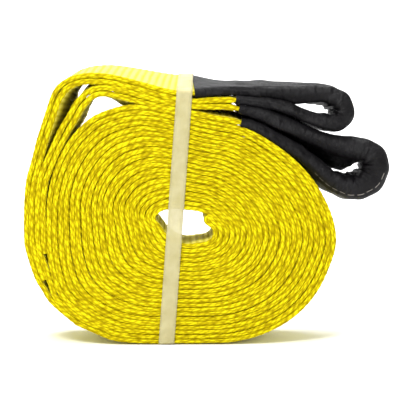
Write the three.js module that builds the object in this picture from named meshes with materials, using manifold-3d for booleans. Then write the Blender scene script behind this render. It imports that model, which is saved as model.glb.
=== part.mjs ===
// Recovery strap, folded in half, rolled from its middle and held by one packing band.
// The roll stands on its flattened underside; the two end eyes reach out over the top.
import * as THREE from "three";
import * as BufferGeometryUtils from "three/addons/utils/BufferGeometryUtils.js";
import Module from "manifold-3d";

const wasm = await Module();
wasm.setup();

// Side profiles are drawn on a square grid: columns to the right, rows up from the floor.
// The origin is the cell on the floor that lies below the middle of the part.
const grid = 0.8;
const origin = [206.8, 0];

// Webbing.
const webbingWidth = 76.2;
const outerTailThickness = 4.4;
const innerTailThickness = 4.9;
const eyeWebbingWidth = 60;
const doubledTurns = 10.5;
const grooveDepth = 1.7;
const grooveHalfWidth = 0.9;
const grooveMouth = 0.2;
const uncutTurns = 0.45;
const grooveStepsPerTurn = 28;

// Fit between pieces that touch.
const seat = 0.3;

// Eye sleeves.
const sleeveSideWall = 2.8;
const cornerRoom = 3.2;
const sleeveSides = 14;

// Packing band.
const bandWidth = 12.7;
const bandThickness = 0.7;
const bandCorner = 0.3;
const bandTopCorner = 0.6;
const bandLean = 0.0727;
const bandSideClearance = 0.4;
const bandSleeveClearance = 0.7;
const bandFloorClearance = 0.1;
const channelSideClearance = 0.5;

const yellow = new THREE.MeshStandardMaterial({ color: 0xe6cf0a, roughness: 0.78, metalness: 0 });
const black = new THREE.MeshStandardMaterial({ color: 0x232124, roughness: 0.7, metalness: 0 });
const ivory = new THREE.MeshStandardMaterial({ color: 0xece4c8, roughness: 0.45, metalness: 0 });

// Outline of the roll without its two tails, as [column, row].
const rollOutline = [
  [337.5, 108], [334, 130], [322, 153], [309, 171], [294, 187], [271, 203.5], [243, 218],
  [215, 224.5], [194, 229.5], [176, 233.8], [160, 237.5], [147.5, 240], [128, 240.5],
  [110, 236], [92, 228], [80, 218.5], [69.5, 205], [60, 190], [50, 178], [36, 164],
  [24.6, 146], [23, 121], [25, 96], [33, 68], [50, 40], [75, 19], [108, 5], [145, 0],
  [185, 0], [225, 0], [262, 7], [295, 24], [318, 47], [332, 76],
];

// Outline of the bore, a flattened hole that slopes down to the right.
const boreOutline = [
  [217.5, 107.5], [216, 115], [209, 122], [197, 129], [185, 133], [174.4, 134.6],
  [163, 133], [156.6, 127], [157.5, 123.5], [164, 117], [172, 108.5], [180, 101.5],
  [188, 99.3], [197, 100], [212, 103],
];
const boreCentre = [186.5, 117];

// The two tails: up the left side, over the top, round the eye and back.
// Each row is [column, row, tilt in degrees], and in an eye the sleeve's thickness in cells.
const outerTailOut = [
  [26.8, 112, 0], [26.7, 143, 0], [29, 166, 0], [33, 180.3, 0], [37, 195.3, 0],
  [39.8, 206.2, 0], [45.6, 224, 0], [50.1, 237.5, 0], [54.2, 249.4, 0], [58.5, 256.8, 1],
  [64, 261.8, 2.5], [70.5, 265.4, 4], [77, 268, 5], [86, 269.4, 6], [95, 269.9, 6.6],
  [110, 268.5, 7.6], [128, 264.5, 8.6], [147.5, 259.2, 9.8], [165, 254.4, 11],
  [176, 252.3, 11.4], [185, 251.7, 11],
];
const upperEye = [
  [195, 251.8, 10, 9], [205, 252.8, 8.5, 9], [215, 253.8, 7, 9], [226, 254.4, 6, 9.4],
  [240, 254.5, 5, 10.2], [258, 253.8, 4, 12.6], [276, 252.9, 3, 15.4], [295, 252.1, 2, 18],
  [312, 251.8, 1.5, 18.6], [328, 251, 1, 19.4], [340, 246.5, 0, 20.6], [346.3, 238, 0, 21.2],
  [345.5, 229, 0, 21.2], [339, 223.4, 0, 19.2], [330, 223.4, 0, 15.5], [318, 226.5, 1.5, 12.8],
  [303, 232, 3, 12.4], [288, 237.2, 1.5, 11.8], [272, 241.4, -0.5, 10.5], [258, 243.7, -2.5, 9.2],
  [240, 245.3, -3.5, 8.8], [226, 245.6, -4.5, 8.8],
];
const outerTailBack = [
  [210, 245.2, -5.5], [194, 243.9, -7], [185, 244.8, -7.5], [176, 246.2, -7.8],
  [165, 249, -7.6], [147.5, 253.7, -7], [128, 258.9, -6.2], [110, 262.8, -5.4], [95, 264, -4.6],
  [86, 263.7, -4], [78, 262.5, -3], [72, 260.2, -2], [66.6, 256.6, -1], [62.8, 251.6, 0],
  [59.2, 246, 0], [55.3, 235.7, 0], [50.8, 222.2, 0], [45.2, 204.6, 0], [42.4, 193.9, 0],
  [38.4, 178.8, 0], [34.6, 165, 0], [32.4, 142.8, 0], [32.4, 112, 0],
];
const innerTailOut = [
  [38.5, 112, 0], [38.5, 143, 0], [40.8, 166, 0], [43.5, 176, 0], [52.6, 196.4, 0],
  [59.2, 210.8, 0], [63.8, 219.8, 0], [68.5, 227, 0], [72.8, 234.6, 0], [77.2, 242, 0],
  [82.2, 247.8, 0], [87.5, 252.4, -0.5], [94, 256, -1.5], [102, 257.6, -3], [112, 257.2, -4],
  [128, 253.8, -4], [147.5, 248.3, -3], [165, 243.6, -1], [176, 241.4, 1], [185, 240, 2],
  [194, 239.4, 1], [208, 238.6, -0.5], [225, 237.3, -0.5],
];
const lowerEye = [
  [238, 236, 0, 8.8], [250, 234.2, 0, 10], [262, 230.9, 0, 12.8], [274, 226, 0, 15.2],
  [290, 220, -2, 16.8], [307, 213.2, -5, 17.6], [326, 206.4, -8, 18.2], [343, 203.5, -9, 18.8],
  [358, 201.4, -7, 20], [370, 196, -4, 21.2], [377.5, 187.5, -1, 22], [379.3, 178, 0, 22],
  [376, 167.5, 0, 22], [368, 159, 0, 21.2], [357, 155, 0, 20.8], [345, 157.2, 0, 20],
  [330, 166, 0, 19], [313.4, 181.2, 0, 17.4], [305, 189.2, 0, 16.4], [297, 196.3, 0, 14.8],
  [281, 205.9, 0, 13.2], [265, 214.9, 0, 12.2], [252, 221, 0, 10.4], [241, 224, 0, 8.8],
];
const innerTailBack = [
  [228, 225.3, 0], [215, 227.4, -0.5], [194, 232.4, -1], [176, 236.2, 1],
  [165, 238.4, 3], [147.5, 242.3, 4.5], [128, 247.6, 5], [112, 251.4, 4.5], [103, 252, 3],
  [96, 250.6, 1.5], [90.6, 247.2, 0.5], [86.6, 243, 0], [82.4, 238.2, 0], [78, 230.9, 0],
  [73.6, 223.2, 0], [69.3, 216.4, 0], [64.8, 207.6, 0], [58.2, 193.6, 0], [49.2, 173.2, 0],
  [46.6, 163.4, 0], [44.5, 143, 0], [44.5, 112, 0],
];

// Merges the shared vertices of a closed geometry and makes a solid of it.
function toSolid(geometry) {
  const bare = geometry.index ? geometry.toNonIndexed() : geometry.clone();
  bare.deleteAttribute("normal");
  bare.deleteAttribute("uv");
  const merged = BufferGeometryUtils.mergeVertices(bare, 1e-5);
  return new wasm.Manifold(new wasm.Mesh({
    numProp: 3,
    vertProperties: new Float32Array(merged.attributes.position.array),
    triVerts: new Uint32Array(merged.index.array),
  }));
}

function toGeometry(solid) {
  const mesh = solid.getMesh();
  const geometry = new THREE.BufferGeometry();
  const position = new Float32Array(mesh.numVert * 3);
  for (let i = 0; i < mesh.numVert; i += 1) {
    position[i * 3] = mesh.vertProperties[i * mesh.numProp];
    position[i * 3 + 1] = mesh.vertProperties[i * mesh.numProp + 1];
    position[i * 3 + 2] = mesh.vertProperties[i * mesh.numProp + 2];
  }
  geometry.setAttribute("position", new THREE.BufferAttribute(position, 3));
  geometry.setIndex(Array.from(mesh.triVerts));
  const faceted = geometry.toNonIndexed();
  faceted.computeVertexNormals();
  return faceted;
}

function fromGrid(column, row) {
  return new THREE.Vector2((column - origin[0]) * grid, (row - origin[1]) * grid);
}

// Distance from the bore's centre to a closed outline, for every angle.
function radiusTable(outline, steps) {
  const centre = fromGrid(boreCentre[0], boreCentre[1]);
  const points = outline.map(([column, row]) => {
    const point = fromGrid(column, row);
    return new THREE.Vector3(point.x, point.y, 0);
  });
  const curve = new THREE.CatmullRomCurve3(points, true, "centripetal");
  const samples = curve.getPoints(steps * 4).map((point) => {
    const dx = point.x - centre.x;
    const dz = Math.max(point.y, 0) - centre.y;
    return { angle: Math.atan2(dz, dx), radius: Math.hypot(dx, dz) };
  });
  samples.sort((a, b) => a.angle - b.angle);
  return (angle) => {
    const wrapped = Math.atan2(Math.sin(angle), Math.cos(angle));
    let after = samples.findIndex((sample) => sample.angle >= wrapped);
    if (after < 0) {
      after = 0;
    }
    const before = (after + samples.length - 1) % samples.length;
    let span = samples[after].angle - samples[before].angle;
    let along = wrapped - samples[before].angle;
    if (span <= 0) {
      span += Math.PI * 2;
    }
    if (along < 0) {
      along += Math.PI * 2;
    }
    const share = span > 1e-9 ? Math.min(along / span, 1) : 0;
    return THREE.MathUtils.lerp(samples[before].radius, samples[after].radius, share);
  };
}

const outerRadius = radiusTable(rollOutline, 180);
const innerRadius = radiusTable(boreOutline, 90);
const rollCentre = fromGrid(boreCentre[0], boreCentre[1]);

// A point of the roll: share 0 lies on the bore and share 1 on the rim.
function rollPoint(angle, share) {
  const radius = THREE.MathUtils.lerp(innerRadius(angle), outerRadius(angle), share);
  const x = rollCentre.x + radius * Math.cos(angle);
  const z = Math.max(rollCentre.y + radius * Math.sin(angle), 0);
  return new THREE.Vector2(x, z);
}

function rollBody() {
  const rim = [];
  const bore = [];
  for (let i = 0; i < 96; i += 1) {
    rim.push(rollPoint((i / 96) * Math.PI * 2, 1));
  }
  for (let i = 0; i < 40; i += 1) {
    bore.push(rollPoint((-i / 40) * Math.PI * 2, 0));
  }
  const shape = new THREE.Shape(rim);
  shape.holes.push(new THREE.Path(bore));
  const body = new THREE.ExtrudeGeometry(shape, { depth: webbingWidth, bevelEnabled: false });
  body.rotateX(Math.PI / 2);
  body.translate(0, webbingWidth / 2, 0);
  return toSolid(body);
}

// A closed skin over a row of rings with the same number of points, with a cap at each end.
function skin(rings) {
  const positions = [];
  const index = [];
  const count = rings[0].length;
  rings.forEach((ring) => ring.forEach((point) => positions.push(point.x, point.y, point.z)));
  const end = (rings.length - 1) * count;
  for (let start = 0; start < end; start += count) {
    for (let j = 0; j < count; j += 1) {
      const a = start + j;
      const b = start + ((j + 1) % count);
      const c = b + count;
      const d = a + count;
      index.push(a, b, c, a, c, d);
    }
  }
  for (let j = 1; j < count - 1; j += 1) {
    index.push(0, j + 1, j);
    index.push(end, end + j, end + j + 1);
  }
  const geometry = new THREE.BufferGeometry();
  geometry.setAttribute("position", new THREE.Float32BufferAttribute(positions, 3));
  geometry.setIndex(index);
  return geometry;
}

// The groove between one doubled turn and the next, cut into an end of the roll.
function spiralGroove(side) {
  const rings = [];
  const turns = doubledTurns - 2 * uncutTurns;
  const steps = Math.round(turns * grooveStepsPerTurn);
  const face = (side * webbingWidth) / 2;
  for (let i = 0; i <= steps; i += 1) {
    const turn = uncutTurns + (i / steps) * turns;
    const angle = Math.PI - turn * Math.PI * 2;
    const share = turn / doubledTurns;
    const centre = rollPoint(angle, share);
    const outward = new THREE.Vector2(Math.cos(angle), Math.sin(angle));
    const near = centre.clone().addScaledVector(outward, -grooveHalfWidth);
    const far = centre.clone().addScaledVector(outward, grooveHalfWidth);
    const ring = [
      new THREE.Vector3(near.x, face + side * grooveMouth, near.y),
      new THREE.Vector3(far.x, face + side * grooveMouth, far.y),
      new THREE.Vector3(centre.x, face - side * grooveDepth, centre.y),
    ];
    rings.push(side > 0 ? ring : ring.reverse());
  }
  return toSolid(skin(rings));
}

// Sections along a tail. The path follows the near edge of the webbing; a tilt lifts the far one.
function stations(rows, divisions) {
  const path = new THREE.CatmullRomCurve3(rows.map((row) => {
    const point = fromGrid(row[0], row[1]);
    return new THREE.Vector3(point.x, 0, point.y);
  }));
  const values = new THREE.CatmullRomCurve3(rows.map((row) => (
    new THREE.Vector3(row[2], row[3], row[4])
  )));
  const found = [];
  for (let i = 0; i <= divisions; i += 1) {
    const u = i / divisions;
    const along = path.getTangent(u);
    const value = values.getPoint(u);
    const normal = new THREE.Vector3(-along.z, 0, along.x).normalize();
    const tilt = THREE.MathUtils.degToRad(value.x);
    const across = new THREE.Vector3(0, Math.cos(tilt), 0).addScaledVector(normal, Math.sin(tilt));
    const up = normal.clone().multiplyScalar(Math.cos(tilt));
    up.y = -Math.sin(tilt);
    const centre = path.getPoint(u).addScaledVector(normal, (value.z / 2) * Math.sin(tilt));
    found.push({ centre, across, up, thickness: value.y, width: value.z });
  }
  return found;
}

function rectangleRing(station, width, thickness) {
  const corners = [[-1, -1], [1, -1], [1, 1], [-1, 1]];
  return corners.map(([a, b]) => station.centre.clone()
    .addScaledVector(station.across, (a * width) / 2)
    .addScaledVector(station.up, (b * thickness) / 2));
}

// A section with rounded edges, for the sleeves.
function roundedRing(station, width, thickness) {
  const ring = [];
  const radius = thickness / 2;
  const flat = width / 2 - radius;
  const half = sleeveSides / 2;
  for (let i = 0; i < sleeveSides; i += 1) {
    const side = i < half ? 1 : -1;
    const turn = ((i % half) / (half - 1) - 0.5) * Math.PI;
    const a = side * (flat + radius * Math.cos(turn));
    const b = side * radius * Math.sin(turn);
    ring.push(station.centre.clone()
      .addScaledVector(station.across, a)
      .addScaledVector(station.up, b));
  }
  return ring;
}

// Adds the webbing width to each row: full in the tails and narrower towards the bend of the eye.
function withWidths(before, eye, after) {
  const narrowed = eye.map((row, i) => {
    const share = Math.sin((i / (eye.length - 1)) * Math.PI);
    const width = THREE.MathUtils.lerp(webbingWidth, eyeWebbingWidth, share);
    return [row[0], row[1], row[2], row[3] * grid, width];
  });
  const full = (row) => [row[0], row[1], row[2], 0, webbingWidth];
  return [...before.map(full), ...narrowed, ...after.map(full)];
}

const stepsPerRow = 2;

function eyeStations(before, eye, after) {
  const rows = withWidths(before, eye, after);
  const all = stations(rows, (rows.length - 1) * stepsPerRow);
  const first = before.length * stepsPerRow;
  const last = (before.length + eye.length - 1) * stepsPerRow;
  return { all, sleeved: all.slice(first, last + 1) };
}

function tailSolid(found, webbingThickness) {
  return toSolid(skin(found.map((station) => (
    rectangleRing(station, station.width, webbingThickness)
  ))));
}

// A sleeve is a tube round the webbing, open at both mouths.
function sleeveGeometry(found, webbingThickness) {
  const outer = found.map((station) => roundedRing(
    station,
    station.width + 2 * (seat + sleeveSideWall),
    station.thickness,
  ));
  const inner = found.map((station) => roundedRing(
    station,
    station.width + 2 * seat + cornerRoom,
    webbingThickness + 2 * seat,
  ));
  const positions = [];
  const index = [];
  const count = sleeveSides;
  const rows = found.length;
  [...outer, ...inner].forEach((ring) => {
    ring.forEach((point) => positions.push(point.x, point.y, point.z));
  });
  for (let i = 0; i < rows - 1; i += 1) {
    for (let j = 0; j < count; j += 1) {
      const k = (j + 1) % count;
      const a = i * count + j;
      const b = i * count + k;
      const c = (i + 1) * count + k;
      const d = (i + 1) * count + j;
      const shift = rows * count;
      index.push(a, b, c, a, c, d);
      index.push(a + shift, c + shift, b + shift, a + shift, d + shift, c + shift);
    }
  }
  [0, rows - 1].forEach((row) => {
    for (let j = 0; j < count; j += 1) {
      const k = (j + 1) % count;
      const a = row * count + j;
      const b = row * count + k;
      const c = b + rows * count;
      const d = a + rows * count;
      if (row === 0) {
        index.push(a, c, b, a, d, c);
      } else {
        index.push(a, b, c, a, c, d);
      }
    }
  });
  const geometry = new THREE.BufferGeometry();
  geometry.setAttribute("position", new THREE.Float32BufferAttribute(positions, 3));
  geometry.setIndex(index);
  return geometry;
}

const outerTail = eyeStations(outerTailOut, upperEye, outerTailBack);
const innerTail = eyeStations(innerTailOut, lowerEye, innerTailBack);

// The packing band is a closed loop that leans as it runs down the near end of the roll.
// Its top passes just before the mouth of the upper eye's sleeve and lies on the outer tail.
const bandReach = webbingWidth / 2 + bandSideClearance;
const bandTopX = fromGrid(upperEye[0][0], 0).x - bandSleeveClearance - bandWidth / 2;

// The highest corner of the outer tail under the band, at the near edge or the far edge.
function tailCorner(side) {
  const corners = outerTail.all
    .filter((station) => station.up.z > 0 && Math.abs(station.centre.x - bandTopX) < bandWidth)
    .map((station) => station.centre.clone()
      .addScaledVector(station.across, (side * station.width) / 2)
      .addScaledVector(station.up, outerTailThickness / 2));
  return corners.reduce((best, corner) => (corner.z > best.z ? corner : best));
}

const nearCorner = tailCorner(-1);
const farCorner = tailCorner(1);
const bandSlope = (farCorner.z - nearCorner.z) / (farCorner.y - nearCorner.y);

function bandTop(y) {
  return nearCorner.z + seat + (y - nearCorner.y) * bandSlope;
}

const bandFootX = bandTopX - bandLean * bandTop(bandReach);

function bandLoop(offset) {
  const reach = bandReach + offset;
  const foot = bandFloorClearance + bandThickness - offset;
  return [
    new THREE.Vector2(-reach, foot + bandCorner),
    new THREE.Vector2(-reach + bandCorner, foot),
    new THREE.Vector2(reach - bandCorner, foot),
    new THREE.Vector2(reach, foot + bandCorner),
    new THREE.Vector2(reach, bandTop(reach) + offset - bandTopCorner),
    new THREE.Vector2(reach - bandTopCorner, bandTop(reach - bandTopCorner) + offset),
    new THREE.Vector2(-reach + bandTopCorner, bandTop(-reach + bandTopCorner) + offset),
    new THREE.Vector2(-reach, bandTop(-reach) + offset - bandTopCorner),
  ];
}

function bandGeometry() {
  const shape = new THREE.Shape(bandLoop(bandThickness));
  shape.holes.push(new THREE.Path(bandLoop(0)));
  const band = new THREE.ExtrudeGeometry(shape, { depth: bandWidth, bevelEnabled: false });
  const leaned = new THREE.Matrix4().set(
    0, bandLean, 1, bandFootX - bandWidth / 2,
    1, 0, 0, 0,
    0, 1, 0, 0,
    0, 0, 0, 1,
  );
  return band.applyMatrix4(leaned);
}

// The roll sits over the band, so its underside has a shallow channel for it.
function bandChannel() {
  const width = bandWidth + 2 * channelSideClearance;
  const depth = bandFloorClearance + bandThickness + seat;
  const box = new THREE.BoxGeometry(width, webbingWidth + 2 * seat, depth * 2);
  return toSolid(box.translate(bandFootX, 0, 0));
}

let webbingSolid = rollBody();
webbingSolid = webbingSolid.subtract(spiralGroove(-1));
webbingSolid = webbingSolid.subtract(spiralGroove(1));
webbingSolid = webbingSolid.subtract(bandChannel());
webbingSolid = webbingSolid.add(tailSolid(outerTail.all, outerTailThickness));
webbingSolid = webbingSolid.add(tailSolid(innerTail.all, innerTailThickness));

const webbing = new THREE.Mesh(toGeometry(webbingSolid), yellow);
webbing.name = "webbing";

const upperTube = sleeveGeometry(outerTail.sleeved, outerTailThickness);
const upperSleeve = new THREE.Mesh(toGeometry(toSolid(upperTube)), black);
upperSleeve.name = "upper_eye_sleeve";

const lowerTube = sleeveGeometry(innerTail.sleeved, innerTailThickness);
const lowerSleeve = new THREE.Mesh(toGeometry(toSolid(lowerTube)), black);
lowerSleeve.name = "lower_eye_sleeve";

const band = new THREE.Mesh(toGeometry(toSolid(bandGeometry())), ivory);
band.name = "packing_band";

const group = new THREE.Group();
group.add(webbing, upperSleeve, lowerSleeve, band);

export default group;
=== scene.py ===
import math

import bmesh
import bpy
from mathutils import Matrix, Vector, noise


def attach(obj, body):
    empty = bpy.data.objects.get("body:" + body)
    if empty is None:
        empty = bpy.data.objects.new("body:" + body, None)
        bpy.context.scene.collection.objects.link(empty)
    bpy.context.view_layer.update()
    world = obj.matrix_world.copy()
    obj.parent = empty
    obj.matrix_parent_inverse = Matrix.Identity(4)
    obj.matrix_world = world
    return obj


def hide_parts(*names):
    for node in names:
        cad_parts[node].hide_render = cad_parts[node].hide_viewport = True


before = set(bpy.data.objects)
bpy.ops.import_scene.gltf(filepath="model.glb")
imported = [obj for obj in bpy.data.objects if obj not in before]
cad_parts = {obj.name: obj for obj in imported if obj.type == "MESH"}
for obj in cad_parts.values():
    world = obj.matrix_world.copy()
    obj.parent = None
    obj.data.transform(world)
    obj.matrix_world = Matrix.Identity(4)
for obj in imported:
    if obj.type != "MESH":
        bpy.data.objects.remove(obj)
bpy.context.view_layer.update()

# The webbing. One polyester strap with ribbed faces and rope-like selvedges, sewn back on itself
# at both ends to make the eyes. It is folded in half and the fold is rolled up first, so that
# two layers run side by side all the way out, and the ends come up the left side and over the top.
GRID = 0.0008
MIDDLE_COLUMN = 206.8
WEBBING_WIDTH = 0.0753
EYE_NARROWING = 0.0163
EYE_LAYER = 0.0038
OUTER_TAIL = 0.0045
OUTER_LAP = 0.0052
INNER_TAIL = 0.0050
NUB_PITCH = 0.0056
NUB_HEIGHT = 0.00055
NUB_LEAN = 0.42
RIB_HEIGHT = 0.00022
YARN_WIDTH = 0.0021
WARP_PITCH = 0.0019
SELVEDGE = 0.0036
EDGE_ROUND = 0.0017
EDGE_SWAY = 0.0004
SECTION_POINTS = 12
STATION_STEP = NUB_PITCH / 4
ROW_PARTS = 6

# Angle of each section point round its selvedge. Points 3 and 9 are the middles of the faces.
SECTION_TURNS = {0: 0, 1: 45, 2: 90, 4: 90, 5: 45, 6: 0, 7: -45, 8: -90, 10: -90, 11: -45}

# The roll: a pair of layers wound round the bore, from the angle where the tails leave it.
PAIRS_ACROSS = 11.4
PAIR_TURNS = 10.4
FIRST_ANGLE = 235.0
OUTER_LAYER = 0.26
INNER_LAYER = 0.74
BORE_COLUMN, BORE_ROW = 186.5, 117.0
BORE_SPARE = 5.0
LEAST_BORE = 6
LOOSENESS = 0.35
TIGHTNESS = 1.05
FOLD_LOOSENESS = 1.7
FOLD_PARTS = 12
SPIRAL_PARTS = 1000

# The rim and the bore as angle in degrees and distance from the bore's centre in grid steps.
RIM = [
    (15, 144.6), (33, 133), (46, 126.3), (61, 121.9), (75, 116.7), (86, 118.6), (95, 123.8),
    (107.6, 136.4), (115.3, 144.7), (122.7, 150.1), (130.4, 154.9), (143, 155.8), (165, 151.9),
    (180, 150.4), (195, 154.2), (209, 157.2), (221, 148.9), (235, 137), (250, 124), (265, 117.5),
    (280, 119), (288, 123.2), (304.5, 133.4), (319.4, 142.9), (332, 149), (344.3, 152.5),
    (356, 155.1),
]
BORE = [
    (3.4, 29.3), (13, 25.1), (48.8, 18), (95, 16.2), (125.2, 21), (145.3, 28), (161.7, 30.8),
    (180, 22.7), (212.3, 17), (247.2, 16.9), (275, 17.8), (305, 20.6), (331, 28.6), (347, 31.2),
]

# The ends as (column, row, tilt in degrees), along the near edge. A tilt lifts the far edge.
OUTER_OUT = [
    (95, 269.9, 6.6), (86, 269.4, 6), (77, 268, 5), (70.5, 265.4, 4), (64, 261.8, 2.5),
    (58.5, 256.8, 1), (54.2, 249.4, 0), (50.1, 237.5, 0), (45.6, 224, 0), (39.8, 206.2, 0),
    (37, 195.3, 0), (33, 180.3, 0), (29, 166, 0), (26.7, 143, 0), (26.2, 112, 0),
    (27.6, 96.4, 0), (36.1, 69, 0), (43.3, 56.2, 0), (52.2, 42.5, 0), (76.7, 21.5, 0),
]
OUTER_TOP = [
    (185, 251.7, 11), (176, 252.3, 11.4), (165, 254.4, 11), (147.5, 259.2, 9.8),
    (128, 264.5, 8.6), (110, 268.5, 7.6),
]
UPPER_EYE = [
    (195, 251.8, 10), (205, 252.8, 8.5), (215, 253.8, 7), (226, 254.4, 6), (240, 254.5, 5),
    (258, 253.8, 4), (276, 252.9, 3), (295, 252.1, 2), (312, 251.8, 1.5), (328, 251, 1),
    (340, 246.5, 0), (346.3, 238, 0), (345.5, 229, 0), (339, 223.4, 0), (330, 223.4, 0),
    (318, 226.5, -2), (303, 232, -3.5), (288, 237.2, -2.5), (272, 241.4, -1.5), (258, 243.7, 0),
    (247, 244.9, 1), (236, 245.4, 2),
]
OUTER_BACK = [
    (231, 245.4, 2.5), (224, 245.4, 3), (210, 245.2, 3.5), (194, 243.9, 5), (185, 244.8, 7.5),
    (176, 246.2, 7.8),
    (165, 249, 7.6), (147.5, 253.7, 7), (128, 258.9, 6.2), (110, 262.8, 5.4), (95, 264, 4.6),
    (86, 263.7, 3.5), (78, 262.5, 2), (72, 260.2, 0), (66.6, 256.6, -2.5), (62.8, 251.6, -4),
    (59.2, 246, -4.5), (55.3, 235.7, -5.5), (50.8, 222.2, -4.5), (45.2, 204.6, -2),
    (42.4, 193.9, -0.5),
    (38.4, 178.8, 0), (34.6, 165, 0), (31.7, 142.8, 0), (31.6, 112, 0), (33, 97.1, 0),
    (41.4, 70.7, 0), (43.7, 65, 0),
]
INNER_OUT = [
    (80.9, 25.2, 0), (56.8, 45.1, 0), (50.7, 59.4, 0), (46.5, 72.3, 0), (38.3, 97.8, 0),
    (37.4, 112, 0), (37.6, 143, 0), (40.4, 166, 0), (43.5, 176, 0), (52.6, 196.4, 0),
    (59.2, 210.8, 0), (63.8, 219.8, 0), (68.5, 227, 0), (72.8, 234.6, 0), (77.2, 242, 1.5),
    (82.2, 247.8, 3.5), (87.5, 252.4, 5), (94, 256, 4.5), (102, 257.6, 3), (112, 257.2, 1),
    (128, 253.8, -1.5), (147.5, 248.3, -2), (165, 243.6, -1), (176, 241.4, 1), (185, 240, 2),
    (194, 239.4, 1), (208, 239, 1.5), (225, 239.1, 2), (232, 238.2, 1.5),
]
LOWER_EYE = [
    (239, 236.9, 0.5), (250, 234.4, 0), (262, 230.9, -0.5), (274, 226, 0), (290, 220, -2),
    (307, 213.2, -6), (326, 206.4, -11), (343, 202.2, -13), (358, 199.8, -14), (370, 195.6, -8),
    (377.5, 187.5, -2), (379.3, 178, 0), (376, 167.5, 0), (367.3, 160, 0), (357, 156.5, 0),
    (345, 158.7, 0), (330, 166, 0), (313.4, 181.2, 0), (305, 189.2, 0), (297, 196.3, 0),
    (281, 205.9, 0), (265, 214.9, 0), (252, 220.4, 3), (241, 223, 4),
]
INNER_BACK = [
    (235, 224, 5), (228, 225.4, 5), (215, 227.6, 4.5), (194, 232.4, 2.5), (176, 236.2, -1),
    (165, 238.4, -3), (147.5, 242.3, -4.5), (128, 247.6, -5), (112, 251.4, -2), (103, 252, 0.5),
    (96, 250.6, 2), (90.6, 247.2, 2.5), (86.6, 243, 2), (82.4, 238.2, 1), (78, 230.9, 0),
    (73.6, 223.2, 0), (69.3, 216.4, 0), (64.8, 207.6, 0), (57.6, 193.4, 0), (49, 173.2, 0),
    (45.6, 163.4, 0), (43, 143, 0), (43, 112, 0), (43.8, 98.5, 0), (44.6, 92, 0),
]


def curve_round(points):
    """Distance from the centre at any angle, smoothly through the given points."""
    count = len(points)

    def radius(angle):
        angle %= 360
        after = next((i for i, p in enumerate(points) if p[0] > angle), count)
        near = []
        for i in range(after - 2, after + 2):
            turns, place = divmod(i, count)
            near.append((points[place][0] + 360 * turns, points[place][1]))
        (a0, r0), (a1, r1), (a2, r2), (a3, r3) = near
        share = (angle - a1) / (a2 - a1)
        slope_1 = (r2 - r0) / (a2 - a0) * (a2 - a1)
        slope_2 = (r3 - r1) / (a3 - a1) * (a2 - a1)
        square, cube = share * share, share * share * share
        return (
            (2 * cube - 3 * square + 1) * r1 + (cube - 2 * square + share) * slope_1
            + (3 * square - 2 * cube) * r2 + (cube - square) * slope_2
        )

    return radius


rim_radius = curve_round(RIM)
bore_radius = curve_round(BORE)


def wound_row(turns, half):
    """A place in the roll: turns in from the rim, on the outer or the inner layer of the pair."""
    angle = FIRST_ANGLE + turns * 360
    inner = max(bore_radius(angle) - BORE_SPARE, LEAST_BORE)
    reach = rim_radius(angle) - inner
    pair = reach / PAIRS_ACROSS
    loose = LOOSENESS * noise.noise((turns * 5.1, half * 9, 3.7))
    radius = inner + reach * (1 - turns / PAIRS_ACROSS) - pair * half + loose
    thickness = TIGHTNESS * pair / 2 * GRID
    column = BORE_COLUMN + radius * math.cos(math.radians(angle))
    row = BORE_ROW + radius * math.sin(math.radians(angle))
    row = max(row, thickness / 2 / GRID + 0.1)
    return (column, row, 0, WEBBING_WIDTH, thickness)


def tail_rows(rows, thickness, narrowing=0.0):
    """Rows with a width and a thickness. An eye is drawn in across its middle."""
    made = []
    for place, (column, row, tilt) in enumerate(rows):
        share = math.sin(math.pi * place / (len(rows) - 1))
        made.append((column, row, tilt, WEBBING_WIDTH - narrowing * share, thickness))
    return made


def between(a, b, c, d, share):
    """Catmull-Rom value between b and c."""
    return 0.5 * (
        2 * b + (c - a) * share + (2 * a - 5 * b + 4 * c - d) * share ** 2
        + (3 * b - a - 3 * c + d) * share ** 3
    )


def smooth_rows(rows):
    """The rows with smooth ones between them."""
    made = []
    last = len(rows) - 1
    for i in range(last):
        near = [rows[max(i - 1, 0)], rows[i], rows[i + 1], rows[min(i + 2, last)]]
        for part in range(ROW_PARTS):
            made.append(tuple(between(*values, part / ROW_PARTS) for values in zip(*near)))
    made.append(rows[-1])
    return made


def even_rows(rows, step):
    """The same route in even steps, with the distance along it in front of each row."""
    points = [Vector(((r[0] - MIDDLE_COLUMN) * GRID, r[1] * GRID)) for r in rows]
    along = [0.0]
    for a, b in zip(points, points[1:]):
        along.append(along[-1] + (b - a).length)
    steps = round(along[-1] / step)
    made = []
    place = 0
    for i in range(steps + 1):
        distance = along[-1] * i / steps
        while place < len(points) - 2 and along[place + 1] < distance:
            place += 1
        share = (distance - along[place]) / max(along[place + 1] - along[place], 1e-9)
        point = points[place].lerp(points[place + 1], min(share, 1))
        rest = [a + (b - a) * min(share, 1) for a, b in zip(rows[place][2:], rows[place + 1][2:])]
        made.append((distance, point.x, point.y, *rest))
    return made


def frames_along(rows):
    """Centre, across and up directions for each row of a route that follows the near edge."""
    made = []
    last = len(rows) - 1
    for i, (distance, x, z, tilt, width, thickness) in enumerate(rows):
        before, after = rows[max(i - 1, 0)], rows[min(i + 1, last)]
        heading = Vector((after[1] - before[1], 0, after[2] - before[2])).normalized()
        outward = Vector((-heading.z, 0, heading.x))
        turn = math.radians(tilt if outward.z >= 0 else -tilt)
        across = Vector((0, math.cos(turn), 0)) + outward * math.sin(turn)
        up = outward * math.cos(turn) - Vector((0, math.sin(turn), 0))
        centre = Vector((x, 0, z)) + outward * (width / 2 * math.sin(turn))
        made.append((distance, centre, across, up, width, thickness))
    return made


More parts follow.
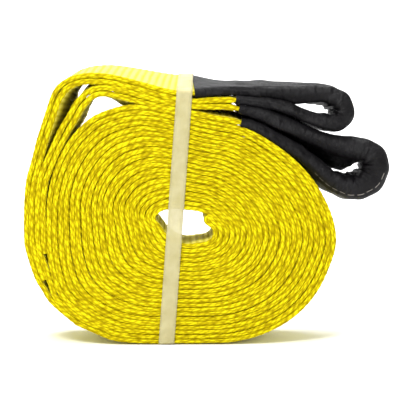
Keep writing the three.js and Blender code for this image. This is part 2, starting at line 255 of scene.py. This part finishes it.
def fold_rows():
    """The middle of the strap: a loose U that joins the outer layer to the inner one."""
    outer, inner = wound_row(PAIR_TURNS, OUTER_LAYER), wound_row(PAIR_TURNS, INNER_LAYER)
    middle = Vector((outer[0] + inner[0], outer[1] + inner[1])) / 2
    out = Vector((outer[0], outer[1])) - middle
    onward = Vector((-out.y, out.x)) * FOLD_LOOSENESS
    made = []
    for part in range(1, FOLD_PARTS):
        turn = math.pi * part / FOLD_PARTS
        place = middle + out * math.cos(turn) + onward * math.sin(turn)
        made.append((place.x, place.y, 0, WEBBING_WIDTH, outer[4]))
    return made


spiral_turns = [PAIR_TURNS * part / SPIRAL_PARTS for part in range(SPIRAL_PARTS + 1)]
outer_spiral = [wound_row(turns, OUTER_LAYER) for turns in spiral_turns]
inner_spiral = [wound_row(turns, INNER_LAYER) for turns in reversed(spiral_turns)]
outer_end = tail_rows(OUTER_BACK[::-1], OUTER_LAP)
outer_end += tail_rows(UPPER_EYE[::-1], EYE_LAYER, EYE_NARROWING)
outer_end += tail_rows(OUTER_TOP + OUTER_OUT, OUTER_TAIL)
inner_end = tail_rows(INNER_OUT, INNER_TAIL)
inner_end += tail_rows(LOWER_EYE, EYE_LAYER, EYE_NARROWING)
inner_end += tail_rows(INNER_BACK, INNER_TAIL)
strap_rows = even_rows(
    smooth_rows(outer_end) + outer_spiral + fold_rows() + inner_spiral + smooth_rows(inner_end),
    STATION_STEP,
)
strap_frames = frames_along(strap_rows)


def ring_girth(points):
    """Distance round a closed ring at each of its points, back to the first one."""
    far = [0.0]
    for a, b in zip(points, points[1:] + points[:1]):
        far.append(far[-1] + (b - a).length)
    return far


def filled_object(name, bm):
    """The object of a mesh that has its shape, with smooth faces."""
    for face in bm.faces:
        face.smooth = True
    mesh = bpy.data.meshes.new(name)
    bm.to_mesh(mesh)
    bm.free()
    made = bpy.data.objects.new(name, mesh)
    bpy.context.scene.collection.objects.link(made)
    return made


def swept_skin(name, frames, place_point, around, ends=True):
    """A grid wrapped round a route into a closed skin, with distances in metres as its UV map."""
    bm = bmesh.new()
    bmesh.ops.create_grid(bm, x_segments=len(frames) - 1, y_segments=around, size=1)
    uv = bm.loops.layers.uv.new("along_and_round")
    cells = {
        v: (round((v.co.x + 1) / 2 * (len(frames) - 1)), round((v.co.y + 1) / 2 * around))
        for v in bm.verts
    }
    places = {v: place_point(frames[i], j % around) for v, (i, j) in cells.items()}
    girth = ring_girth([place_point(frames[len(frames) // 2], j) for j in range(around)])
    for face in bm.faces:
        for loop in face.loops:
            i, j = cells[loop.vert]
            loop[uv].uv = (frames[i][0], girth[j])
    for v, place in places.items():
        v.co = place
    seam = [v for v, (i, j) in cells.items() if j in (0, around)]
    bmesh.ops.remove_doubles(bm, verts=seam, dist=1e-6)
    if ends:
        bmesh.ops.holes_fill(bm, edges=[e for e in bm.edges if e.is_boundary], sides=0)
    bmesh.ops.recalc_face_normals(bm, faces=bm.faces)
    return filled_object(name, bm)


def webbing_point(at, j):
    """A point of the section: a rope-like round at each selvedge, and two nearly flat faces."""
    distance, centre, across, up, width, thickness = at
    half = thickness / 2
    sway = EDGE_SWAY * noise.noise((distance * 9, 0.3, 1.7))
    if j in (3, 9):
        side = 1 if j == 3 else -1
        rib = RIB_HEIGHT * math.cos(2 * math.pi * distance / NUB_PITCH)
        return centre + up * (side * (half + rib)) + across * sway
    near = j <= 2 or j >= 10
    turn = math.radians(SECTION_TURNS[j])
    phase = distance / NUB_PITCH - math.sin(turn) * NUB_LEAN
    nub = NUB_HEIGHT * (0.5 + 0.5 * math.cos(2 * math.pi * phase)) * math.cos(turn) ** 0.5
    reach = width / 2 - EDGE_ROUND + EDGE_ROUND * math.cos(turn) ** 0.55 + nub
    full = math.copysign(abs(math.sin(turn)) ** 0.8, turn)
    rise = half * (0.95 + 0.05 * math.cos(2 * math.pi * phase)) * full
    return centre + across * ((-reach if near else reach) + sway) + up * rise


webbing = swept_skin("strap_webbing", strap_frames, webbing_point, SECTION_POINTS)


class Nodes:
    """A material's node tree, with short calls for the nodes that the patterns use."""

    def __init__(self, name):
        self.material = bpy.data.materials.new(name)
        self.material.use_nodes = True
        self.tree = self.material.node_tree
        self.shader = self.tree.nodes["Principled BSDF"]

    def put(self, kind, **settings):
        node = self.tree.nodes.new(kind)
        for key, value in settings.items():
            setattr(node, key, value)
        return node

    def join(self, source, target):
        self.tree.links.new(source, target)

    def math(self, operation, *values, clamp=False):
        node = self.put("ShaderNodeMath", operation=operation, use_clamp=clamp)
        for socket, value in zip(node.inputs, values):
            if hasattr(value, "is_linked"):
                self.join(value, socket)
            else:
                socket.default_value = value
        return node.outputs[0]

    def ramp(self, value, stops):
        node = self.put("ShaderNodeValToRGB")
        elements = node.color_ramp.elements
        while len(elements) < len(stops):
            elements.new(0.5)
        for element, (place, colour) in zip(elements, stops):
            element.position = place
            element.color = (*colour, 1)
        self.join(value, node.inputs[0])
        return node.outputs[0]

    def noise(self, vector, scale, detail=2.0):
        node = self.put("ShaderNodeTexNoise")
        node.inputs["Scale"].default_value = scale
        node.inputs["Detail"].default_value = detail
        self.join(vector, node.inputs["Vector"])
        return node.outputs["Fac"]

    def stretched(self, vector, scale):
        node = self.put("ShaderNodeMapping")
        node.inputs["Scale"].default_value = scale
        self.join(vector, node.inputs["Vector"])
        return node.outputs[0]

    def mix(self, share, first, second):
        node = self.put("ShaderNodeMix", data_type="RGBA")
        for socket, value in zip((node.inputs[0], node.inputs[6], node.inputs[7]),
                                 (share, first, second)):
            if hasattr(value, "is_linked"):
                self.join(value, socket)
            else:
                socket.default_value = value if isinstance(value, float) else (*value, 1)
        return node.outputs[2]

    def bump(self, height, distance, strength=1.0):
        node = self.put("ShaderNodeBump")
        node.inputs["Distance"].default_value = distance
        node.inputs["Strength"].default_value = strength
        self.join(height, node.inputs["Height"])
        self.join(node.outputs[0], self.shader.inputs["Normal"])

    def set(self, **values):
        for key, value in values.items():
            self.shader.inputs[key.replace("_", " ")].default_value = value


def webbing_finish():
    """Bright yellow polyester: short slanted yarns at the selvedges, ribs across the faces. The colour
    paints highlights on the yarn crowns and shade between the yarns, and paints a pale sheen on the
    faces with shade in the rib and warp grooves.
    """
    n = Nodes("yellow_polyester_webbing")
    place = n.put("ShaderNodeUVMap", uv_map="along_and_round").outputs[0]
    split = n.put("ShaderNodeSeparateXYZ")
    n.join(place, split.inputs[0])
    along, around = split.outputs[0], split.outputs[1]
    middle = strap_frames[len(strap_frames) // 2]
    girth = ring_girth([webbing_point(middle, j) for j in range(SECTION_POINTS)])[-1]
    from_edge = n.math("WRAP", around, girth / 4, -girth / 4)
    slanted = n.math("MULTIPLY_ADD", from_edge, -1.5, along)
    cell = n.put("ShaderNodeCombineXYZ")
    n.join(n.math("MULTIPLY", slanted, 1 / NUB_PITCH), cell.inputs[0])
    crossing = n.math("MULTIPLY", along, 0.3 / NUB_PITCH)
    n.join(n.math("MULTIPLY_ADD", from_edge, 1 / YARN_WIDTH, crossing), cell.inputs[1])
    yarns = n.put("ShaderNodeTexVoronoi", voronoi_dimensions="2D")
    yarns.inputs["Scale"].default_value = 1.0
    yarns.inputs["Randomness"].default_value = 0.55
    n.join(cell.outputs[0], yarns.inputs["Vector"])
    cell_colour = n.put("ShaderNodeSeparateColor")
    n.join(yarns.outputs["Color"], cell_colour.inputs[0])
    shade = cell_colour.outputs[0]
    # Yarn height from the cells, with a random tone for each yarn; it sets the painted highlight on the
    # yarn crowns and the painted shade between the yarns, and the bump.
    yarn = n.math("MULTIPLY_ADD", yarns.outputs["Distance"], -1.15, 1.1, clamp=True)
    yarn = n.math("MULTIPLY", yarn, n.math("MULTIPLY_ADD", shade, 0.5, 0.62))
    patches = n.noise(place, 38.0, 3.0)
    rib_place = n.math("MULTIPLY_ADD", along, 1 / NUB_PITCH, n.math("MULTIPLY", patches, 0.2))
    rib = n.math("COSINE", n.math("MULTIPLY", rib_place, 2 * math.pi))
    warp = n.math("ABSOLUTE", n.math("SINE", n.math("MULTIPLY", around, math.pi / WARP_PITCH)))
    # Face ribs and warp lines; in the colour they make painted shade in the grooves.
    face = n.math("MULTIPLY_ADD", warp, 0.2, n.math("MULTIPLY_ADD", rib, 0.34, 0.46))
    edge_zone = n.math("LESS_THAN", n.math("ABSOLUTE", from_edge), SELVEDGE)
    chosen = n.mix(edge_zone, face, yarn)
    grain = n.noise(n.stretched(place, (180, 1100, 1)), 1.0, 3.0)
    tone = n.math("MULTIPLY_ADD", grain, 0.3, n.math("MULTIPLY", chosen, 0.8))
    tone = n.math("MULTIPLY_ADD", patches, 0.2, n.math("SUBTRACT", tone, 0.1))
    # Painted highlight and painted shade: the yarn colour runs from dark olive in the gaps between
    # yarns to bright yellow on the yarn crowns.
    yarn_highlight_and_shade_colour = n.ramp(tone, [
        (0.1, (0.10, 0.055, 0.0)), (0.3, (0.27, 0.195, 0.0)), (0.55, (0.41, 0.315, 0.0)),
        (0.85, (0.70, 0.61, 0.005)),
    ])
    # Painted sheen: the faces turn pale cream at the top of the ramp, with painted shade in the rib and
    # warp grooves.
    face_sheen_and_groove_shade_colour = n.ramp(tone, [(0.15, (0.40, 0.34, 0.0)), (0.75, (0.78, 0.71, 0.13))])
    colour = n.mix(edge_zone, face_sheen_and_groove_shade_colour, yarn_highlight_and_shade_colour)
    n.join(colour, n.shader.inputs["Base Color"])
    n.set(Roughness=0.75, Specular_IOR_Level=0.05)
    n.bump(n.math("MULTIPLY_ADD", grain, 0.3, chosen), 0.0008, 0.8)
    return n.material


webbing.data.materials.append(webbing_finish())
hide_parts("webbing")
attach(webbing, "root")

# The eye sleeves. Each is a loose tube of black nylon, cut from flat cloth and sewn along one
# side, that was threaded over the webbing before the eye was sewn. It puckers inside the bend.
CLOTH = 0.0009
SLEEVE_AROUND = 52
SLEEVE_END = 15
SLEEVE_STEP = 0.0014
SLEEVE_SPARE = 0.0024
MOUTH_REACH = 0.035
FOLD_DEPTH = 0.0028
CREASE_DEPTH = 0.0010
DEEPEST_DENT = 0.0013
PUCKER_PITCH = 0.0105
PUCKER_DEPTH = 0.0008
SHARP_BEND = 55
TWILL_PITCH = 0.0011
SEAM_PLACE = 0.0816
SEAM_HALF = 0.00035
SEAM_TOP = 0.138
STITCH_PITCH = 0.0062
STITCH_LENGTH = 0.0042

# The thickness of each sleeve at the rows of its eye, in grid steps.
UPPER_SLEEVE = [
    9.4, 9.4, 9.4, 9.8, 10.6, 12.8, 15.6, 18.2, 18.8, 19.6, 20.8, 21.4, 21.4, 19.4, 16, 13.4, 13,
    12.2, 10.9, 9.6, 9.2, 9.2,
]
LOWER_SLEEVE = [
    9.2, 10.4, 13.2, 15.6, 17.2, 18, 18.8, 21.8, 24, 23, 22.4, 22.4, 22.4, 23.5, 24.2, 23.4,
    20.2, 18, 17, 15.6, 14, 13, 11.4, 9.4,
]


def sleeve_rows(eye, thicknesses):
    """The eye's own rows, a little wider and as thick as the sleeve is there."""
    rows = [
        (column, row, tilt, width + 2 * SLEEVE_SPARE, thick * GRID)
        for (column, row, tilt, width, _), thick
        in zip(tail_rows(eye, EYE_LAYER, EYE_NARROWING), thicknesses)
    ]
    return even_rows(smooth_rows(rows), SLEEVE_STEP)


def sleeve_section(j):
    """A place round the sleeve: share of the flat, then the direction at a rounded edge."""
    side, part = divmod(j, SLEEVE_AROUND // 2)
    if part <= SLEEVE_END:
        turn = math.pi * (part / SLEEVE_END - 0.5) + math.pi * side
        return (-1 if side else 1), math.cos(turn), math.sin(turn)
    share = (part - SLEEVE_END) / (SLEEVE_AROUND // 2 - SLEEVE_END)
    return (2 * share - 1 if side else 1 - 2 * share), 0, (-1 if side else 1)


def bending(rows, i, reach=6):
    """How sharply the route turns at a row, in radians for each metre."""
    before, after = rows[max(i - reach, 0)], rows[min(i + reach, len(rows) - 1)]
    here = rows[i]
    first = Vector((here[1] - before[1], here[2] - before[2]))
    second = Vector((after[1] - here[1], after[2] - here[2]))
    if first.length < 1e-6 or second.length < 1e-6:
        return 0
    return abs(first.angle_signed(second)) / ((first.length + second.length) / 2)


def make_sleeve(name, eye, thicknesses, seed):
    """One sleeve, with its girth and its length."""
    rows = sleeve_rows(eye, thicknesses)
    frames = [
        (*at, bending(rows, i), min(i, len(rows) - 1 - i) * SLEEVE_STEP)
        for i, at in enumerate(frames_along(rows))
    ]

    def cloth_point(at, j):
        distance, centre, across, up, width, thickness, bend, from_mouth = at
        flat_share, side, lift = sleeve_section(j)
        half = thickness / 2
        reach = flat_share * (width / 2 - half) + side * half
        rise = lift * half
        slack = min(from_mouth / MOUTH_REACH, 1)
        inside = max(-lift, 0)
        wander = 3 * noise.noise((distance * 40, reach * 45, seed))
        pucker = math.sin(distance * 2 * math.pi / PUCKER_PITCH + wander)
        pucker *= PUCKER_DEPTH * min(bend / SHARP_BEND, 1) * (0.4 + inside)
        place = Vector((distance * 24, reach * 34 + seed, lift * 0.9))
        fold = FOLD_DEPTH * slack * noise.noise(place)
        crease = CREASE_DEPTH * slack * noise.noise(place * 2.9)
        out = (up * lift + across * side).normalized()
        shift = max(pucker + fold + crease, -DEEPEST_DENT)
        return centre + across * reach + up * rise + out * shift

    piece = swept_skin(name, frames, cloth_point, SLEEVE_AROUND, ends=False)
    wall = piece.modifiers.new("cloth_thickness", "SOLIDIFY")
    wall.thickness = CLOTH
    wall.offset = -1
    girth = ring_girth([cloth_point(frames[len(frames) // 2], j) for j in range(SLEEVE_AROUND)])
    return piece, girth[-1], rows[-1][0]


def sleeve_finish():
    """Black nylon with a fine twill, dull, with soft light along its folds and creases."""
    n = Nodes("black_nylon_sleeve")
    place = n.put("ShaderNodeUVMap", uv_map="along_and_round").outputs[0]
    split = n.put("ShaderNodeSeparateXYZ")
    n.join(place, split.inputs[0])
    slanted = n.math("ADD", split.outputs[0], split.outputs[1])
    twill = n.math("SINE", n.math("MULTIPLY", slanted, 2 * math.pi / TWILL_PITCH))
    crease = n.noise(n.stretched(place, (1.0, 0.45, 1.0)), 75.0, 3.0)
    crease = n.math("ABSOLUTE", n.math("SUBTRACT", crease, 0.5))
    colour = n.ramp(n.noise(place, 60.0, 4.0),
                    [(0.3, (0.002, 0.0017, 0.002)), (0.75, (0.005, 0.0045, 0.0055))])
    line = n.math("ABSOLUTE", n.math("SUBTRACT", split.outputs[1], SEAM_PLACE))
    line = n.math("LESS_THAN", line, SEAM_HALF)
    dash = n.math("LESS_THAN", n.math("WRAP", split.outputs[0], STITCH_PITCH, 0.0), STITCH_LENGTH)
    height = n.put("ShaderNodeSeparateXYZ")
    n.join(n.put("ShaderNodeTexCoord").outputs["Object"], height.inputs[0])
    seen = n.math("LESS_THAN", height.outputs[2], SEAM_TOP)
    stitch = n.math("MULTIPLY", n.math("MULTIPLY", line, dash), seen)
    colour = n.mix(stitch, colour, (0.22, 0.20, 0.18))
    n.join(colour, n.shader.inputs["Base Color"])
    n.set(Roughness=0.5, Specular_IOR_Level=0.15)
    n.bump(n.math("MULTIPLY_ADD", crease, 14.0, n.math("MULTIPLY", twill, 0.12)), 0.0009, 0.7)
    return n.material


black_nylon = sleeve_finish()
for sleeve_name, node, eye, thicknesses, seed in (
    ("upper_sleeve", "upper_eye_sleeve", UPPER_EYE, UPPER_SLEEVE, 3.1),
    ("lower_sleeve", "lower_eye_sleeve", LOWER_EYE, LOWER_SLEEVE, 8.4),
):
    sleeve, girth, length = make_sleeve(sleeve_name, eye, thicknesses, seed)
    sleeve.data.materials.append(black_nylon)
    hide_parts(node)
    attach(sleeve, "root")

# The packing band. A strip of ivory polypropylene with an embossed grid, drawn tight over the
# tails and round the roll, and welded to itself where its ends overlap under the roll.
BAND_WIDTH = 0.0127
BAND_THICKNESS = 0.0007
BAND_FOOT = (166.2 - MIDDLE_COLUMN) * GRID
BAND_LEAN = 0.0727
BAND_SIDE = 0.0385
BAND_CORNER = 0.0022
BAND_NEAR_TOP = 0.2043
BAND_FAR_TOP = 0.2194
BAND_LOW = 0.0008
BAND_TOP_INSET = 0.001
BAND_STEP = 0.006
BAND_CORNER_PARTS = 6
BAND_ACROSS = 4
BAND_RIPPLE = 0.0003
EMBOSSING_PITCH = 0.0016
ROLL_MIDDLE = 0.1


def band_route():
    """The band's inner line as (y, z), with rounded corners, from under the roll and back."""
    corners = [
        (-BAND_SIDE, BAND_LOW), (-BAND_SIDE, BAND_NEAR_TOP), (BAND_SIDE - BAND_TOP_INSET, BAND_FAR_TOP),
        (BAND_SIDE, BAND_LOW),
    ]
    made = []
    for i, corner in enumerate(corners):
        here = Vector(corner)
        back = (Vector(corners[i - 1]) - here).normalized() * BAND_CORNER
        ahead = (Vector(corners[(i + 1) % 4]) - here).normalized() * BAND_CORNER
        for part in range(BAND_CORNER_PARTS + 1):
            share = part / BAND_CORNER_PARTS
            first = (here + back).lerp(here, share)
            second = here.lerp(here + ahead, share)
            made.append(first.lerp(second, share))
        following = Vector(corners[(i + 1) % 4])
        run = following - here
        count = int(run.length / BAND_STEP)
        for part in range(1, count):
            place = here + run * (part / count)
            if (place - here).length > BAND_CORNER and (place - following).length > BAND_CORNER:
                made.append(place)
    return made


def make_band():
    """The strip as a closed loop with its thickness outward."""
    route = band_route()
    bm = bmesh.new()
    uv = bm.loops.layers.uv.new("along_and_round")
    steps = len(route)
    bmesh.ops.create_grid(bm, x_segments=steps, y_segments=BAND_ACROSS, size=1)
    cells = {
        v: (round((v.co.x + 1) / 2 * steps), round((v.co.y + 1) / 2 * BAND_ACROSS))
        for v in bm.verts
    }
    far = ring_girth(route)
    for face in bm.faces:
        for loop in face.loops:
            i, j = cells[loop.vert]
            loop[uv].uv = (far[i], (j / BAND_ACROSS - 0.5) * BAND_WIDTH)
    for v, (i, j) in cells.items():
        place = route[i % steps]
        side = (j / BAND_ACROSS - 0.5) * BAND_WIDTH
        ripple = BAND_RIPPLE * noise.noise((far[i] * 30, side * 40, 5.2))
        outward = Vector((place.x, place.y - ROLL_MIDDLE)).normalized()
        v.co = (BAND_FOOT + BAND_LEAN * place.y + side, place.x + outward.x * ripple, place.y)
    seam = [v for v, (i, j) in cells.items() if i in (0, steps)]
    bmesh.ops.remove_doubles(bm, verts=seam, dist=1e-6)
    bmesh.ops.recalc_face_normals(bm, faces=bm.faces)
    piece = filled_object("packing_strip", bm)
    wall = piece.modifiers.new("strip_thickness", "SOLIDIFY")
    wall.thickness = BAND_THICKNESS
    wall.offset = 1
    return piece


def band_finish():
    """Milky polypropylene that lets some of what is behind it through."""
    n = Nodes("ivory_polypropylene")
    place = n.put("ShaderNodeUVMap", uv_map="along_and_round").outputs[0]
    split = n.put("ShaderNodeSeparateXYZ")
    n.join(place, split.inputs[0])
    lines = [
        n.math("ABSOLUTE", n.math("SINE", n.math("MULTIPLY", way, math.pi / EMBOSSING_PITCH)))
        for way in split.outputs[:2]
    ]
    grid = n.math("MINIMUM", *lines)
    cloud = n.noise(place, 90.0, 3.0)
    colour = n.ramp(cloud, [(0.3, (0.52, 0.47, 0.24)), (0.7, (0.64, 0.59, 0.35))])
    n.join(colour, n.shader.inputs["Base Color"])
    n.set(Roughness=0.38, Alpha=0.52, Specular_IOR_Level=0.25)
    n.bump(grid, 0.0003, 0.7)
    return n.material


band = make_band()
band.data.materials.append(band_finish())
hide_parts("packing_band")
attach(band, "root")

# The studio: a pale floor that runs up behind, soft light from above and from both sides, and
# the camera at the height of the top of the roll, looking slightly down.
CAMERA_DISTANCE = 1.03
CAMERA_HEIGHT = 0.19
AIM = Vector((-0.0054, -0.0381, 0.1168))
CAMERA_ASIDE = -0.012
LENS = 115.9
FLOOR_REACH = 3
FLOOR_LEVEL = -0.0003
LEVEL_UP_TO = 1.2
RISE = 0.5
OBJECT_MIDDLE = (0, 0, 0.11)

floor_shape = bmesh.new()
bmesh.ops.create_grid(floor_shape, x_segments=1, y_segments=24, size=FLOOR_REACH)
for v in floor_shape.verts:
    beyond = max(v.co.y - LEVEL_UP_TO, 0)
    v.co.z = FLOOR_LEVEL + beyond ** 2 * RISE
studio_floor = filled_object("studio_floor", floor_shape)
paper = Nodes("white_paper")
paper.set(Base_Color=(0.93, 0.93, 0.93, 1), Roughness=0.9)
studio_floor.data.materials.append(paper.material)


def soft_light(name, place, aim, size, power):
    """A round soft light, turned toward what it lights."""
    lamp = bpy.data.lights.new(name, "AREA")
    lamp.shape = "DISK"
    lamp.size = size
    lamp.energy = power
    light = bpy.data.objects.new(name, lamp)
    light.location = place
    light.rotation_euler = (Vector(aim) - light.location).to_track_quat("-Z", "Y").to_euler()
    bpy.context.scene.collection.objects.link(light)


soft_light("key_light", (-0.4, -1.0, 1.2), OBJECT_MIDDLE, 0.5, 22)
soft_light("fill_light", (0.9, -1.3, 0.5), OBJECT_MIDDLE, 0.9, 4)
soft_light("top_light", (0, 0, 1.4), OBJECT_MIDDLE, 0.7, 16)
soft_light("backdrop_light", (0, 1, 1.8), (0, 2.4, 0.4), 1.2, 60)

world = bpy.data.worlds.new("studio")
world.use_nodes = True
world.node_tree.nodes["Background"].inputs[0].default_value = (1, 1, 1, 1)
world.node_tree.nodes["Background"].inputs[1].default_value = 0.55
bpy.context.scene.world = world
bpy.context.scene.view_settings.view_transform = "Standard"

lens = bpy.data.cameras.new("camera")
lens.lens = LENS
lens.sensor_width = 36
camera = bpy.data.objects.new("camera", lens)
drop = CAMERA_HEIGHT - AIM.z
back = math.sqrt(CAMERA_DISTANCE ** 2 - drop ** 2)
camera.location = AIM + Vector((CAMERA_ASIDE, -back, drop))
camera.rotation_euler = (AIM - camera.location).to_track_quat("-Z", "Y").to_euler()
bpy.context.scene.collection.objects.link(camera)
bpy.context.scene.camera = camera
